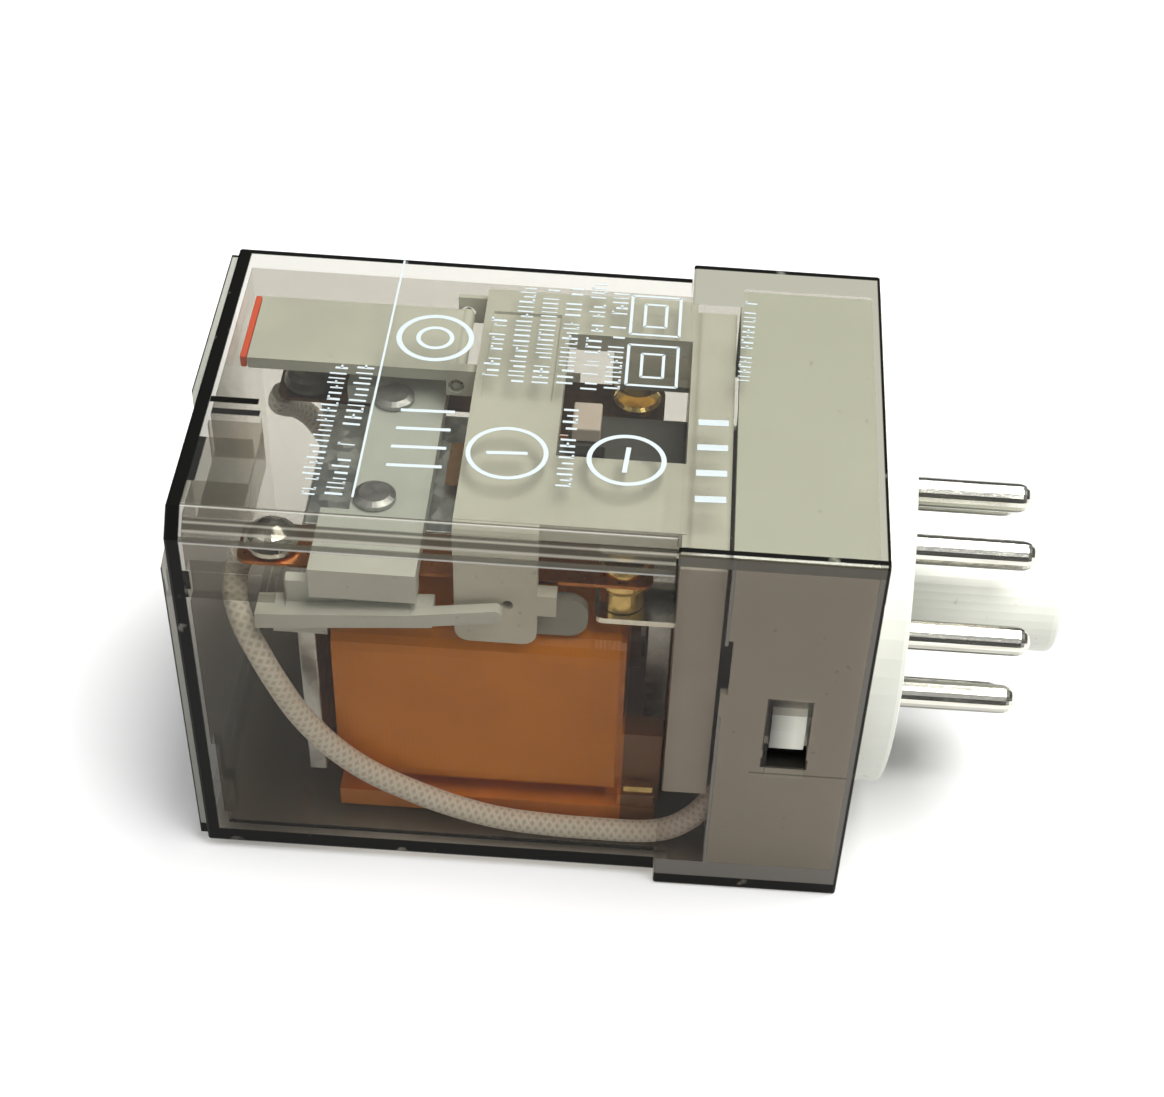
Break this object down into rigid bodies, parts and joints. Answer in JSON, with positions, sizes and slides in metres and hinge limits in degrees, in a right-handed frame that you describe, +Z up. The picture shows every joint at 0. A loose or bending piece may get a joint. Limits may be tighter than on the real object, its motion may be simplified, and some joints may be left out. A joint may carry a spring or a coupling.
{
  "type": "plug-in relay",
  "caption": "Octal-base plug-in relay in a clear smoke cover: amber coil, rocking armature with changeover contacts, red-tipped flag, and a round plug with a guide post.",
  "frame": {"origin": "centre of the bounding box's bottom face, on the surface that the relay lies on", "axes": "+X along the relay towards the plug pins, +Z up out of its upper side, -Y towards the side where the coil and its lead show"},
  "size_m": [0.0694, 0.036, 0.036],
  "materials": {
    "smoke_clear": "clear smoke-tinted polycarbonate, polished",
    "grey_plastic": "warm grey moulded plastic, fine satin",
    "light_plastic": "pale grey moulded plastic, fine satin",
    "dark_plastic": "dark grey insulating plastic",
    "cream_plastic": "cream moulded plastic",
    "red_plastic": "orange-red moulded plastic",
    "amber_tape": "glossy amber polyester tape",
    "bobbin_plastic": "amber-brown moulded bobbin plastic",
    "copper": "copper alloy",
    "bronze": "rolled spring bronze",
    "steel": "turned soft iron",
    "zinc_plate": "zinc-plated soft iron sheet",
    "nickel": "nickel plate, softly polished",
    "gold": "gold plate",
    "white_sleeve": "white woven glass sleeving over a stranded lead"
  },
  "bodies": {
    "case": {"cover": "smoke_clear", "plug_base": "light_plastic", "contact_frame": "grey_plastic", "pole_barrier": "dark_plastic", "barrier_pad": "cream_plastic", "yoke": "zinc_plate", "core": "steel", "shading_ring": "copper", "winding": "copper", "bobbin": "bobbin_plastic", "coil_tape": "amber_tape", "return_spring": "bronze", "flag_pivot_pin": "nickel", "pin_1": "nickel", "pin_2": "nickel", "pin_3": "nickel", "pin_4": "nickel", "pin_5": "nickel", "pin_6": "nickel", "pin_7": "nickel", "pin_8": "nickel", "fixed_strip_lower_front": "nickel", "fixed_strip_upper_front": "nickel", "fixed_contact_lower_front": "gold", "fixed_contact_upper_front": "gold", "coil_terminal_front": "gold", "lead_front": "white_sleeve", "fixed_strip_lower_rear": "nickel", "fixed_strip_upper_rear": "nickel", "fixed_contact_lower_rear": "gold", "fixed_contact_upper_rear": "gold", "coil_terminal_rear": "gold", "lead_rear": "white_sleeve"},
    "armature": {"armature": "zinc_plate", "contact_carrier": "grey_plastic", "carrier_rivet_front": "nickel", "carrier_rivet_rear": "nickel", "moving_blade_front": "copper", "moving_blade_rear": "copper", "moving_contact_front": "gold", "moving_contact_rear": "gold", "solder_dome_front": "nickel", "solder_dome_rear": "nickel"},
    "indicator": {"indicator_flag": "grey_plastic", "indicator_tip": "red_plastic"}
  },
  "joints": [
    {"name": "armature_rock", "type": "hinge", "parent": "case", "child": "armature", "pos_m": [-0.02425, 0, 0.0257], "axis": [0, -1, 0], "range_deg": [0, 2.5], "stiffness_Nm_per_rad": 0.03, "springref_deg": -5.73},
    {"name": "indicator_lift", "type": "hinge", "parent": "case", "child": "indicator", "pos_m": [-0.01515, 0.0106, 0.0315], "axis": [0, 1, 0], "range_deg": [0, 5.7]}
  ],
  "couplings": [
    {"joint": "indicator_lift", "follows": "armature_rock", "ratio": 2.25}
  ]
}
